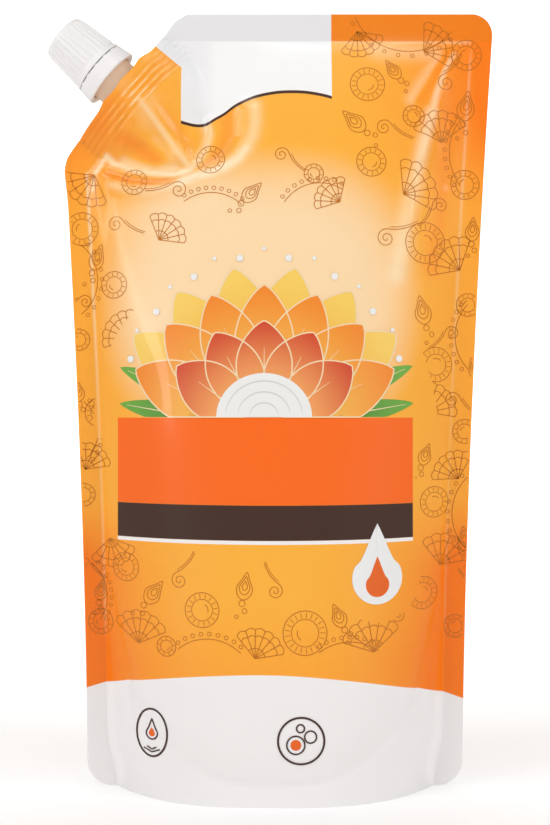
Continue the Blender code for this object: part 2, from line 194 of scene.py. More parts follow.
LOW_LEFT = [(-46.4, 55.4), (-43.8, 44.7), (-41.5, 35.7), (-39.8, 26.8)]
LOW_RIGHT = [(46, 53.6), (43.3, 42), (40.7, 32.2), (38.9, 25.9)]
COARSE_FRONT = SIDE_FOLDS + placed(by_spout, [
    ([(-4.3, -21.6), (4.1, -24.6), (11.9, -25.8), (20.5, -24.9), (23.8, -19.5), (24.9, -15),
     (24.4, -11)], -1.2, 2.4),
    ([(21.7, -26.7), (28.6, -21.9), (31.8, -16), (31.8, -10)], -0.7, 2.6),
    ([(0.5, -28.8), (11.9, -31), (21.7, -29.4), (31.5, -25.1), (37, -17), (37.4, -8.6)], 0.8, 2.9),
    ([(8.6, -6), (15.2, -15.4), (20.2, -23.2)], 1.2, 2.8),
    ([(1.4, -12.6), (5.2, -18.4)], -0.7, 4),
]) + placed(by_corner, [
    ([(-12.5, -8.4), (-21, -17.7)], -0.7, 3),
    ([(-9.5, -10.4), (-16.7, -26.9), (-20.9, -40.5)], 1.1, 2.6),
    ([(-20.9, -40.5), (-24.2, -53.7), (-26.4, -69.9)], 0.9, 3.6),
])
COARSE_BACK = SIDE_FOLDS + placed(by_spout, [
    ([(-0.6, -22.2), (10.2, -26.4), (19.7, -24.6), (25.3, -15.5)], -0.7, 2.7),
]) + placed(by_corner, [
    ([(-14.5, -14.3), (-19.9, -31.3), (-21.7, -57.2)], 0.6, 3.2),
])
FINE_FRONT = placed(by_spout, [
    ([(-3.9, -22.8), (4.1, -25.9), (11.9, -27), (20.9, -26.2), (25.2, -20), (26.6, -15.3),
     (26.2, -11)], 0.6, 1.1),
    ([(-3.4, -24.8), (4.1, -27.7), (12.6, -28.8), (21.2, -27.6)], -0.45, 1),
    ([(8.8, -6.6), (14.6, -15.4), (20.2, -23.6)], 0.35, 1.7),
    ([(2.6, -12.9), (6.6, -16.5), (13.5, -19.9)], 0.25, 1.2),
    ([(14.6, -9.2), (18.3, -13), (21.4, -17.9)], -0.25, 2.4),
    ([(-3.1, -19), (-1, -14.5), (0.8, -9.5)], 0.35, 1),
    ([(0.6, -20.6), (3, -15), (5, -10.5)], 0.3, 0.9),
]) + placed(by_corner, [
    ([(-8.7, -9), (-16, -24.9), (-18.9, -33.5)], 0.5, 0.9),
    ([(-8.2, -14), (-11.5, -30), (-13, -48)], -0.35, 1.6),
    ([(-33, -9.4), (-31, -21), (-30.5, -38), (-31.5, -60)], 0.2, 2.2),
]) + [
    ([(-49.9, 171), (-50.3, 160), (-50.1, 146), (-49, 130), (-48.2, 112)], 0.18, 1.6),
    ([(-47.2, 168), (-46.9, 152), (-46.4, 137)], -0.12, 1.8),
    (LOW_LEFT, -0.45, 0.9),
    (LOW_RIGHT, -0.45, 0.9),
    ([(48.6, 96), (47.4, 76), (46.9, 58)], 0.35, 1.2),
    ([(-48.4, 96), (-47.6, 78), (-47, 62)], 0.35, 1.2),
    ([(-20, 9.5), (-8, 7.6), (6, 7.4), (19, 9.3)], 0.25, 1.1),
]
FINE_BACK = placed(by_spout, [
    ([(4.2, -29.8), (16.9, -29.5), (28, -25.9), (34.6, -19.9)], 0.3, 1.7),
]) + placed(by_corner, [
    ([(-12.3, -11.2), (-16.3, -17.4), (-19.9, -22.8)], -0.4, 0.9),
]) + [
    (LOW_LEFT, -0.4, 0.9),
    (LOW_RIGHT, -0.4, 0.9),
]
FRONT = COARSE_FRONT + FINE_FRONT
BACK = COARSE_BACK + FINE_BACK


def line_distance(x, z, points):
    best = np.full(np.shape(x), 1e9)
    for (ax, az), (bx, bz) in zip(points[:-1], points[1:]):
        length = (bx - ax) ** 2 + (bz - az) ** 2
        t = np.clip(((x - ax) * (bx - ax) + (z - az) * (bz - az)) / length, 0, 1)
        best = np.minimum(best, np.hypot(x - ax - t * (bx - ax), z - az - t * (bz - az)))
    return best


print("folds in front", len(FRONT), "at the back", len(BACK))

# %% [markdown]
# One rule gives how far the film stands out: a belly full of soap that thins out to the top seal, the
# boat-shaped foot of the spout between the films, the weld's ribs over it, and the folds.

# %%
BOAT_FADE = 34
SWELL_REACH = 30
BLEND = 5
WELD_LOW = 0.78 * POUCH_H


def depth(x, z, folds):
    left = np.maximum(-seal_inset(z), corner_line(WELD_DEPTH, z))
    right = seal_inset(z)
    middle = 0.5 * (left + right)
    u = np.clip((x - middle) / (0.5 * (right - left)), -1, 1)
    rise = np.clip(z / (POUCH_H - TOP_SEAL), 0, 1)
    power = 3 - 0.8 * smooth(z / (0.33 * POUCH_H))
    across = 1 - np.abs(u) ** power
    belly = BELLY * (1 - rise ** 2) ** BELLY_POWER * across
    over = z - gusset_weld(x)
    swell = smooth(over / 10.7) * np.exp(-(np.maximum(over, 0) / SWELL_REACH) ** 2)
    belly = belly + SWELL * (swell - 0.35 * np.exp(-(over / 3.1) ** 2)) * across
    q = along_corner(x, z)
    r = below_edge(x, z)
    boat = (BOAT_HALF + BOAT_FILM) * np.clip(1 - (q / (1.2 * BOAT_LEN)) ** 2, 0, 1) ** 0.9
    boat = boat * (1 - smooth((r + BOAT_BOTTOM - 0.2) / BOAT_FADE))
    body = (np.maximum(belly, 0) ** BLEND + np.maximum(boat, 0) ** BLEND) ** (1 / BLEND)
    inside = smooth(body / 3.6)
    for points, height, width in folds:
        body = body + height * inside * np.exp(-(line_distance(x, z, points) / width) ** 2)
    wave = np.sin(x * 0.123 + 1.3) * np.sin(z * 0.093 + 0.4) + 0.6 * np.sin(x * 0.213 - z * 0.056)
    wave = wave + 0.4 * np.sin(z * 0.235 + x * 0.078)
    body = body + 0.13 * inside * wave - 0.28 * inside * np.exp(-(over / 1.1) ** 2)
    ribs = 0.2 * np.cos(FULL * (r - FIRST_RIB) / RIB_PITCH)
    ribs = ribs * smooth((r - FIRST_RIB + 0.6) / 0.5) * smooth((WELD_DEPTH + 0.6 - r) / 0.5)
    ribs = ribs * smooth((1.37 * BOAT_LEN - np.abs(q)) / 2.7) * (z > WELD_LOW)
    return SEAL_T / 2 + np.maximum(body, 0) + ribs


def out_at(x, z, folds):
    """The depth at a single point."""
    return float(depth(np.float64(x), np.float64(z), folds))


for z in (10, 55, 110, 160, 200):
    print("height", z, "front stands out", round(out_at(0, z, FRONT), 1))

# %% [markdown]
# Light and shade are painted into the film's colour along its creases. Pale lines are painted highlights on
# the ridges of the creases, along the seals and on the weld's ribs, and deep lines are painted shade in the
# hollows beside them. Each line has its points, a strength and a width.

# %%
PAINTED_HIGHLIGHT_LINES = placed(by_spout, [
    ([(-3.1, -20.6), (-0.9, -22.8), (4.7, -25.1), (11.1, -26.2), (16.6, -26.7), (20.8, -25.6)], 0.92, 0.9),
    ([(2, -22.3), (6, -23.9), (11, -24.9), (16, -25.2)], 0.5, 1.6),
    ([(20.8, -25.4), (23.6, -22.6), (25.3, -19), (26.1, -15.7), (25.3, -12.9)], 0.62, 1.4),
    ([(-1.5, -28.9), (2.9, -30.5), (8.4, -31.2), (13.2, -30.7), (18.1, -29.4)], 0.45, 1.2),
    ([(18.1, -29), (21.5, -27.5), (26.5, -26.5), (30.6, -25), (34.2, -22.6), (36.6, -19.4)], 0.85, 1.5),
    ([(36.6, -19.4), (38.3, -16), (39, -11.8), (38.8, -7.7)], 0.55, 1.9),
    ([(6.6, -5.6), (10.5, -10.8), (14, -15.6), (17.6, -20.4), (20.6, -24.6)], 0.62, 0.9),
    ([(1.5, -3), (9.5, -9.5)], 0.24, 4.5),
    ([(11, -17), (15.5, -22)], 0.2, 1.8),
    ([(-3.6, -21.4), (-6.4, -25.6), (-7.2, -30)], 0.75, 0.7),
    ([(0, -38), (12, -37), (27, -32)], 0.16, 5),
]) + placed(by_corner, [
    ([(-11.8, -11.6), (-14.2, -16.5), (-16.2, -22.3), (-17.7, -28.1)], 0.62, 1.1),
    ([(-17.7, -28.1), (-19.5, -34.7), (-21.2, -41), (-22.7, -47.6)], 0.68, 1.9),
    ([(-22.7, -47.6), (-24.2, -53.3), (-25.7, -60.4), (-26.9, -67.5), (-28.1, -74.5)], 0.52, 2.7),
    ([(-33, -10.6), (-20, -11), (-14.8, -12)], 0.34, 2.8),
    ([(-15.4, -12.4), (-18.8, -17.4), (-23.3, -24.6)], 0.42, 1.9),
])
PAINTED_SHADE_LINES = placed(by_spout, [
    ([(-2.6, -25.6), (2.7, -27.9), (9.7, -28.8), (17, -28)], 0.6, 1.3),
    ([(22, -25), (26.8, -23), (30, -19.6), (31.4, -14.6), (31.2, -9)], 0.4, 2.4),
    ([(12.8, -8.5), (17.4, -14), (20.2, -18.8)], 0.3, 1.8),
    ([(-4.5, -12.5), (-0.5, -7.5)], 0.5, 5.5),
    ([(0.8, -15.6), (6, -18.4), (11, -22.6)], 0.6, 2.6),
]) + placed(by_corner, [
    ([(-13, -11.4), (-16.9, -17.2)], 0.85, 1.3),
    ([(-16.9, -17.2), (-21.4, -24.8)], 0.55, 1.6),
    ([(-10.6, -16), (-12.4, -28), (-14.4, -45), (-16.4, -62), (-18, -72)], 0.4, 2.8),
])


SEAL_LINE = 0.42


def strongest(x, z, lines):
    best = np.zeros(np.shape(x))
    for points, strength, width in lines:
        best = np.maximum(best, strength * np.exp(-(line_distance(x, z, points) / width) ** 2))
    return best


def painted_light_tone(x, z, pale_lines, deep_lines, strong=1):
    """From -1, deepest painted shade, over 0, the plain print, to 1, brightest painted highlight."""
    q = along_corner(x, z)
    r = below_edge(x, z)
    # Painted highlights: thin bright lines along the inner edges of the side seals and the top seal, and
    # painted glints on the weld's ribs.
    side = np.exp(-((np.abs(x) - seal_inset(z)) / SEAL_LINE) ** 2) * (r > WELD_DEPTH)
    side = side * smooth((POUCH_H - TOP_SEAL - z) / 9) * (0.2 + 0.4 * smooth((z - 90) / 80))
    side = side * smooth((z - 40) / 10) * np.where(x < 0, 1.2, 0.55)
    top = np.exp(-((z - POUCH_H + TOP_SEAL + 0.35) / SEAL_LINE) ** 2)
    top = 0.36 * top * (np.abs(x) < seal_inset(z))
    streak = np.maximum(np.cos(FULL * (r - FIRST_RIB) / RIB_PITCH), 0) ** 3
    glints = np.sin(0.95 * q + 1.9 * np.floor((r - 2) / RIB_PITCH)) * np.sin(0.37 * q + 0.8 * r)
    glints = 0.3 + 0.9 * smooth(1.3 * (0.45 + 0.55 * glints))
    weld = smooth((r - 3.6) / 1) * smooth((10.6 - r) / 1) * smooth((1.25 * BOAT_LEN - np.abs(q)) / 3)
    weld = weld * (z > WELD_LOW)
    bright = 0.3 + np.exp(-((q - 1) / 8) ** 2)
    ribs = streak * np.minimum(bright * glints, 1) * weld
    painted_highlight = np.maximum.reduce([strongest(x, z, pale_lines), side, top, ribs])
    # Painted shade in the hollows along the creases and between the weld's ribs.
    painted_shade = np.maximum(strongest(x, z, deep_lines), 0.3 * (1 - streak) * weld)
    return strong * (painted_highlight - painted_shade * (1 - painted_highlight))


print("pale lines", len(PAINTED_HIGHLIGHT_LINES), "deep lines", len(PAINTED_SHADE_LINES))

# %% [markdown]
# The film is a grid of rows at rising heights. In each row the columns follow the seals and the weld
# lines, so creases fall along mesh edges. Grids and bands of faces are made in one place for all pieces.

# %%
ROWS = np.concatenate([
    np.array([0, 0.22, 0.62, 1.25, 2, 3]),
    np.arange(4.1, 168, 1.15),
    np.arange(168.2, POUCH_H - TOP_SEAL - 0.7, 0.55),
    POUCH_H - TOP_SEAL + np.array([-0.5, -0.25, 0, 0.35]),
    np.arange(211.2, 216.6, 0.7),
    np.array([216.9, 217.4, 217.75, 218]),
])
WELD_LINES = [1.4 + 0.45 * i for i in range(21)]
BELLY_COLUMNS = 172


def row_points(z):
    inner = float(seal_inset(z))
    corner = float(half_width(z) - drawn_in(BASE_R, BASE_R - z))
    xs = [float(left_edge(z))]
    for i, r in enumerate(WELD_LINES):
        f = (i + 1) / len(WELD_LINES)
        xs.append(max(-corner + (corner - inner) * f, float(corner_line(r, z))))
    left_in = xs[-1]
    for i in range(1, BELLY_COLUMNS):
        t = i / BELLY_COLUMNS
        xs.append(left_in + (inner - left_in) * (t - 0.05 * sin(FULL * t)))
    end = float(right_edge(z))
    xs += [inner + (end - inner) * f for f in (0, 0.1, 0.3, 0.55, 0.8, 0.95, 1)]
    for i in range(1, len(xs)):
        xs[i] = max(xs[i], xs[i - 1] + 0.04)
    return xs


grid_x = np.array([row_points(float(z)) for z in ROWS])
grid_z = np.repeat(ROWS[:, None], grid_x.shape[1], axis=1)
print("film grid", grid_x.shape)


def mesh_piece(name, points, faces, paint=None, place=None, shade=True, turn_out=True):
    """A mesh object at the origin from points in millimetres."""
    at = np.asarray(points, dtype=float) * MM
    if place is not None:
        m = np.array(place)
        at = at @ m[:3, :3].T + m[:3, 3]
    mesh = bpy.data.meshes.new(name)
    mesh.from_pydata(at.tolist(), [], faces)
    if turn_out:
        bm = bmesh.new()
        bm.from_mesh(mesh)
        bmesh.ops.recalc_face_normals(bm, faces=bm.faces)
        bm.to_mesh(mesh)
        bm.free()
    obj = bpy.data.objects.new(name, mesh)
    bpy.context.scene.collection.objects.link(obj)
    if paint is not None:
        mesh.materials.append(paint)
    if shade:
        mesh.shade_smooth()
    return obj


def grid_faces(rows, columns, first=0):
    """Faces of a grid whose points follow each other row by row."""
    starts = [first + i * columns + k for i in range(rows - 1) for k in range(columns - 1)]
    return [(a, a + 1, a + columns + 1, a + columns) for a in starts]


def band_faces(low, high, count):
    """Faces of a closed band between two rings of points."""
    return [(low + i, low + (i + 1) % count, high + (i + 1) % count, high + i) for i in range(count)]


def crosswise(faces):
    """The same faces, each wound the other way round."""
    return [(a, d, c, b) for a, b, c, d in faces]


# %% [markdown]
# Each half of the pouch is the film and its cut edge, which turns back to the middle plane. Around the
# spout's foot the edge shows the film's own thickness instead.

# %%
FILM_T = 0.35


def film_half(name, sign, folds, tones):
    out = depth(grid_x, grid_z, folds)
    rows, columns = grid_x.shape
    points = [(grid_x[i, j], sign * out[i, j], grid_z[i, j]) for i in range(rows) for j in range(columns)]
    faces = grid_faces(rows, columns)
    last = (rows - 1) * columns
    loop = [*range(0, last, columns), *range(last, last + columns), *range(last - 1, 0, -columns)]
    first_rim = len(points)
    for x, y, z in [points[v] for v in loop]:
        share = float(smooth((abs(y) - 0.8) / 1))
        points.append((x, sign * (abs(y) - FILM_T) * share, z))
    for k in range(len(loop) - 1):
        faces.append((loop[k], loop[k + 1], first_rim + k + 1, first_rim + k))
    if sign > 0:
        faces = [ring[::-1] for ring in faces]
    made = mesh_piece(name, points, faces, turn_out=False)
    # Each point of the film carries its painted highlight and painted shade as an attribute.
    tone = made.data.attributes.new("painted_light", "FLOAT", "POINT")
    tone.data.foreach_set("value", np.concatenate([tones.ravel(), np.zeros(len(loop))]))
    return made


front_film = film_half("front_film", -1, FRONT, painted_light_tone(grid_x, grid_z, PAINTED_HIGHLIGHT_LINES, PAINTED_SHADE_LINES))
back_film = film_half("back_film", 1, BACK, painted_light_tone(grid_x, grid_z, [], [], 0.8))
print("front film faces", len(front_film.data.polygons))

# %% [markdown]
# Under the pouch the skirts stand on the floor. The gusset film runs up inside each skirt to its weld,
# and sags back down to a flat oval in the middle.

# %%
WALL = 12
SAG = 26
SAG_POWER = 1.7
SIDE_TOP = GUSSET_SIDE - 1.5


def gusset_middle(x):
    t = np.clip((abs(x) / BASE_OPEN - FLAT_SHARE) / (1 - FLAT_SHARE), 0, 1)
    return (GUSSET_SIDE - 1) * t ** SAG_POWER


def under_points(x, folds, sign):
    top = float(gusset_weld(np.float64(x)))
    mid = float(gusset_middle(x))
    points = [(x, sign * out_at(x, 0, folds), 0)]
    for z in [top * k / WALL for k in range(WALL + 1)]:
        points.append((x, sign * (out_at(x, z, folds) - SKIRT_T), z))
    y_top = abs(points[-1][1])
    for t in [1 - k / SAG for k in range(1, SAG + 1)]:
        points.append((x, sign * y_top * t, mid + (top - mid) * max(0, (t - 0.4) / 0.6) ** SAG_POWER))
    return points


points = []
for x in [x for x in grid_x[0] if abs(x) < BASE_OPEN - 0.3]:
    points += under_points(x, FRONT, -1) + under_points(x, BACK, 1)[-2::-1]
across_count = 2 * (WALL + SAG + 1) + 1
for sign in (-1, 1):
    line = [(sign * BASE_OPEN, -0.4, 0)]
    line += [(sign * BASE_OPEN, -0.01, SIDE_TOP * k / WALL) for k in range(WALL + 1)]
    line += [(sign * BASE_OPEN, -0.01 * (1 - k / SAG), SIDE_TOP + 0.5 * k / SAG) for k in range(1, SAG + 1)]
    line += [(px, -py, pz) for px, py, pz in line[-2::-1]]
    points = line + points if sign < 0 else points + line
faces = crosswise(grid_faces(len(points) // across_count, across_count))
gusset_film = mesh_piece("gusset_film", points, faces, turn_out=False)
facing = [f.normal.z for f in gusset_film.data.polygons if abs(f.center.x) < 0.01 and abs(f.center.y) < 0.005]
print("gusset faces", len(gusset_film.data.polygons), "middle faces down", all(v < 0 for v in facing))

# %% [markdown]
# The sealed corners of the base are closed by a thin strip, and the top of the spout's foot by another.

# %%
def ladder(points, faces, pairs):
    """Add a strip of faces between pairs of points."""
    faces += grid_faces(len(pairs), 2, len(points))
    points += [point for pair in pairs for point in pair]


points, faces = [], []
for sign in (-1, 1):
    ends = [(x, out_at(x, 0, FRONT)) for x in grid_x[0] if sign * x >= BASE_OPEN - 0.31]
    ladder(points, faces, [((x, -d, 0), (x, d, 0)) for x, d in ends])
corner_strips = mesh_piece("corner_strips", points, faces)
points, faces, pairs = [], [], []
INSET = 0.3
for z in ROWS[(ROWS > 179) & (ROWS < 215)]:
    x = float(left_edge(z))
    near, far = [max(out_at(x, z, folds) - INSET, 0.1) for folds in (FRONT, BACK)]
    at = (x - OUT_X * INSET, z - OUT_Z * INSET)
    pairs.append(((at[0], -near, at[1]), (at[0], far, at[1])))
ladder(points, faces, pairs)
foot_top = mesh_piece("foot_top", points, faces)
print("strips", len(corner_strips.data.polygons), len(foot_top.data.polygons))

# %% [markdown]
# The print is drawn on a flat sheet 140 wide and 244 high, and PRINT is the film's millimetres for each
# unit of the drawing. A small set of helpers writes its colours as arithmetic on the film's x and z.

# %%
PRINT = POUCH_H / 244
UNITS = 1000 / PRINT
SEAL_LOW = (POUCH_H - TOP_SEAL) / PRINT
BANNER_ENDS = (-49.2, 42.7)
LINE_LOW, STRIP_LOW, BANNER_LOW, BANNER_TOP = 78.3, 79.4, 90, 116.4


class Maths:
    """Arithmetic nodes in one node tree."""

    def __init__(self, tree):
        self.tree = tree

    def node(self, kind, **values):
        made = self.tree.nodes.new(kind)
        for key, value in values.items():
            setattr(made, key, value)
        return made

    def put(self, socket, value):
        if isinstance(value, bpy.types.NodeSocket):
            self.tree.links.new(value, socket)
        else:
            socket.default_value = value

    def op(self, operation, a, b=0):
        n = self.node("ShaderNodeMath", operation=operation)
        self.put(n.inputs[0], a)
        self.put(n.inputs[1], b)
        return n.outputs[0]

    def add(self, a, b):
        return self.op("ADD", a, b)

    def sub(self, a, b):
        return self.op("SUBTRACT", a, b)

    def mul(self, value, *more):
        for factor in more:
            value = self.op("MULTIPLY", value, factor)
        return value

    def power(self, value, exponent):
        return self.op("POWER", self.op("ABSOLUTE", value), exponent)

    def place(self):
        """X, Y and Z of the point on the object."""
        split = self.node("ShaderNodeSeparateXYZ")
        self.put(split.inputs[0], self.node("ShaderNodeTexCoord").outputs["Object"])
        return split.outputs

    def step(self, value, low, high):
        n = self.node("ShaderNodeMapRange", interpolation_type="SMOOTHSTEP")
        self.put(n.inputs["Value"], value)
        self.put(n.inputs["From Min"], low)
        self.put(n.inputs["From Max"], high)
        return n.outputs["Result"]

    def edge(self, value, at, soft=0.12):
        """0 below at, 1 above it."""
        return self.step(self.sub(value, at), -soft, soft)

    def inverse(self, mask):
        return self.sub(1, mask)

    def between(self, value, low, high):
        return self.mul(self.edge(value, low), self.inverse(self.edge(value, high)))

    def mix(self, mask, low, high, blend="MIX"):
        n = self.node("ShaderNodeMix", data_type="RGBA", blend_type=blend)
        self.put(n.inputs["Factor"], mask)
        colour = [s for s in n.inputs if s.type == "RGBA"]
        for socket, value in zip(colour, (low, high)):
            self.put(socket, (*value, 1) if isinstance(value, tuple) else value)
        return [s for s in n.outputs if s.type == "RGBA"][0]

    def curve(self, value, x_range, y_range, points):
        """A smooth line through points, for a printed boundary."""
        (x0, x1), (z0, z1) = x_range, y_range
        into = self.node("ShaderNodeMapRange")
        out = self.node("ShaderNodeMapRange")
        shape = self.node("ShaderNodeFloatCurve")
        for node, name, source in ((into, "Value", value), (into, "From Min", x0), (into, "From Max", x1),
                                   (shape, "Value", into.outputs["Result"]),
                                   (out, "Value", shape.outputs["Value"]), (out, "To Min", z0),
                                   (out, "To Max", z1)):
            self.put(node.inputs[name], source)
        line = shape.mapping.curves[0]
        spots = [((px - x0) / (x1 - x0), (pz - z0) / (z1 - z0)) for px, pz in points]
        line.points[0].location = spots[0]
        line.points[1].location = spots[-1]
        for spot in spots[1:-1]:
            line.points.new(*spot)
        shape.mapping.update()
        return out.outputs["Result"]


def shading(paint):
    """The node helper of a material and the inputs of its shader."""
    return Maths(paint.node_tree), paint.node_tree.nodes["Principled BSDF"].inputs


def plastic(name, colour, roughness, coat=0, subsurface=0):
    made = bpy.data.materials.new(name)
    made.use_nodes = True
    _, inputs = shading(made)
    for socket, value in (("Base Color", (*colour, 1)), ("Roughness", roughness), ("Coat Weight", coat),
                          ("Subsurface Weight", subsurface), ("Subsurface Radius", (0.004, 0.003, 0.002)),
                          ("Subsurface Scale", 1)):
        inputs[socket].default_value = value
    return made


def ink(name, colour):
    return plastic(name, colour, 0.27, 0.35)


DEEP = (0.97, 0.2, 0.004)
TOP_BAND = (0.87, 0.205, 0.005)
WARM = (0.985, 0.445, 0.045)
PALE = (0.975, 0.7, 0.405)
WHITE = (0.89, 0.862, 0.853)
LABEL = (0.925, 0.917, 0.903)
# Grey of the label's top seal, partly the seal's own grey and partly painted shade; also the painted shade
# beside the spout's foot.
SEAL_GREY_AND_PAINTED_SHADE = (0.79, 0.775, 0.79)
BANNER = (0.97, 0.147, 0.008)
BROWN = (0.06, 0.026, 0.017)
# Colours of the painted highlights and the painted shade on the film.
PAINTED_HIGHLIGHT_TINT = (1, 0.66, 0.47)
PAINTED_SHADE_TINT = (0.95, 0.215, 0.004)

# %% [markdown]
# The field is deep orange at the sides and pale in the middle, over a white base with a curved edge. It
# is one node group, which the front and the back share.

# %%
field = bpy.data.node_groups.new("Pack field", "ShaderNodeTree")
for name, way, kind in (("Vector", "INPUT", "Vector"), ("Glow", "INPUT", "Float"),
                        ("Color", "OUTPUT", "Color"), ("X", "OUTPUT", "Float"), ("Z", "OUTPUT", "Float")):
    field.interface.new_socket(name, in_out=way, socket_type="NodeSocket" + kind)
m = Maths(field)
group_in = m.node("NodeGroupInput")
group_out = m.node("NodeGroupOutput")
split = m.node("ShaderNodeSeparateXYZ")
m.put(split.inputs[0], group_in.outputs["Vector"])
x, z = [m.mul(split.outputs[axis], UNITS) for axis in "XZ"]
wide = m.power(m.mul(m.add(x, 4.8), 1 / 48.5), 3.1)
tall = m.power(m.mul(m.sub(z, 154), 1 / 44), 2.4)
centre = m.mul(m.inverse(m.step(m.add(wide, tall), 0.16, 1.3)), group_in.outputs["Glow"])
sides = m.power(m.mul(m.add(x, 2), 1 / 58), 3)
low = m.inverse(m.step(z, 64, 94))
high = m.mul(m.step(z, 175, 218), 0.5)
deepness = m.mul(sides, m.add(0.18, m.add(low, high)))
deepness = m.add(deepness, m.mul(m.inverse(m.step(z, 36, 64)), 0.25))
colour = m.mix(m.op("MINIMUM", deepness, 1), WARM, DEEP)
colour = m.mix(centre, colour, PALE)
colour = m.mix(m.mul(m.edge(z, SEAL_LOW, 0.3), 0.9), colour, TOP_BAND)
shift = m.add(x, 5)
base_line = m.sub(39.6, m.mul(m.mul(shift, shift), 0.0029))
colour = m.mix(m.inverse(m.edge(z, base_line, 0.15)), colour, WHITE)
for name, value in (("Color", colour), ("X", x), ("Z", z)):
    m.put(group_out.inputs[name], value)
print("field nodes", len(field.nodes))


LABEL_LINE = [(-32, 210.6), (-28, 208.9), (-23.5, 208.3), (-18, 210.6), (-11, 215.2), (-3, 218.1), (6, 218.9),
              (13, 218.2), (20, 216.2)]


def film_material(name, front):
    made = plastic(name, WHITE, 0.27, 0.3)
    k, inputs = shading(made)
    use = k.node("ShaderNodeGroup")
    use.node_tree = field
    k.put(use.inputs["Vector"], k.node("ShaderNodeTexCoord").outputs["Object"])
    use.inputs["Glow"].default_value = 1 if front else 0.55
    px, pz = use.outputs["X"], use.outputs["Z"]
    # Painted highlights are screened over the print and painted shade is mixed in, both from the film's
    # attribute.
    painted_light = k.node("ShaderNodeAttribute", attribute_name="painted_light").outputs["Fac"]
    painted_highlight = k.mix(k.op("MAXIMUM", painted_light, 0), (0, 0, 0), PAINTED_HIGHLIGHT_TINT)
    result = k.mix(1, use.outputs["Color"], painted_highlight, "SCREEN")
    result = k.mix(k.op("MAXIMUM", k.mul(painted_light, -1), 0), result, PAINTED_SHADE_TINT)
    if front:
        label = k.curve(px, (-32, 20), (204, 222), LABEL_LINE)
        left_cut = k.add(-29.4, k.mul(k.op("MAXIMUM", k.sub(pz, 226.4), 0), -1.22))
        inside = k.between(px, left_cut, 17.8)
        result = k.mix(k.mul(inside, k.between(pz, k.sub(label, 1), label)), result, BROWN)
        # Painted shade: the label turns grey left of the spout's foot, where the film slopes away. The top
        # seal's grey is partly the seal's own and partly painted shade.
        foot_painted_shade = k.mul(k.inverse(k.step(px, -23.5, -17.5)), 0.5)
        seal_and_shade_mask = k.op("MAXIMUM", k.edge(pz, SEAL_LOW, 0.3), foot_painted_shade)
        result = k.mix(k.mul(inside, k.edge(pz, label)), result, k.mix(seal_and_shade_mask, LABEL, SEAL_GREY_AND_PAINTED_SHADE))
        inside = k.between(px, *BANNER_ENDS)
        for low, high, colour in ((BANNER_LOW, BANNER_TOP, BANNER), (STRIP_LOW, BANNER_LOW, BROWN),
                                  (LINE_LOW, STRIP_LOW, WHITE)):
            result = k.mix(k.mul(inside, k.between(pz, low, high)), result, colour)
    k.put(inputs["Base Color"], result)
    inputs["Specular IOR Level"].default_value = 0.4
    inputs["Coat Roughness"].default_value = 0.12
    return made


front_print = film_material("front_print", True)
back_print = film_material("back_print", False)
front_film.data.materials.append(front_print)
for obj in (back_film, gusset_film, corner_strips):
    obj.data.materials.append(back_print)
print("front print nodes", len(front_print.node_tree.nodes))

# %% [markdown]
# The spout and the tamper band are profiles turned round the spout's axis, in plain plastics.

# %%
SPOUT_PE = plastic("natural_polyethylene", (0.84, 0.61, 0.44), 0.34, 0.1, 0.25)
WHITE_PE = plastic("white_polyethylene", (0.88, 0.855, 0.845), 0.36, 0.1)
LINER_FOAM = plastic("liner_foam", (0.8, 0.8, 0.78), 0.6)
foot_top.data.materials.append(SPOUT_PE)


def polar(radius, angle, *height):
    """The point at an angle round the axis, with its height where one is given."""
    return (radius * cos(angle), radius * sin(angle), *height)


def turned(name, profile, segments, paint):
    """A closed profile of (radius, height) swept round the spout's axis."""
    n = len(profile)
    points = [polar(radius, FULL * s / segments, h) for s in range(segments) for radius, h in profile]
    faces = []
    for s in range(segments):
        faces += crosswise(band_faces(s * n, (s + 1) % segments * n, n))
    return mesh_piece(name, points, faces, paint, SPOUT_FRAME)


def rounded(profile, radius=0.25, steps=3):
    """The closed profile with its corners eased."""
    eased = []
    for k, spot in enumerate(profile):
        c = Vector(spot)
        a = Vector(profile[k - 1]) - c
        b = Vector(profile[(k + 1) % len(profile)]) - c
        r = min(radius, 0.4 * a.length, 0.4 * b.length)
        start, end = c + a.normalized() * r, c + b.normalized() * r
        for t in [i / steps for i in range(steps + 1)]:
            eased.append(tuple((1 - t) ** 2 * start + 2 * t * (1 - t) * c + t * t * end))
    return eased


neck = turned("spout_neck", rounded([
    (4.3, -10.2), (6.2, -5.2), (6.6, -3), (6.7, -1.6), (6.7, 3.6), (7.5, 4), (7.5, 4.5), (5.65, 5.6),
    (5.3, 6.1), (5.3, 17.65), (4.85, 18.2), (4.3, 18.2),
]), 96, SPOUT_PE)
band = turned("band_ring", rounded([
    (7, 2.5), (7.5, 2.1), (8.7, 2.1), (8.9, 2.45), (8.75, 3.5), (8.3, 6.6), (7.8, 6.6), (7.8, 3.6), (7, 3.1),
], 0.2), 128, WHITE_PE)
print("neck and band faces", len(neck.data.polygons), len(band.data.polygons))

# %% [markdown]
# The thread winds round the neck a little over twice, and fades at both ends.

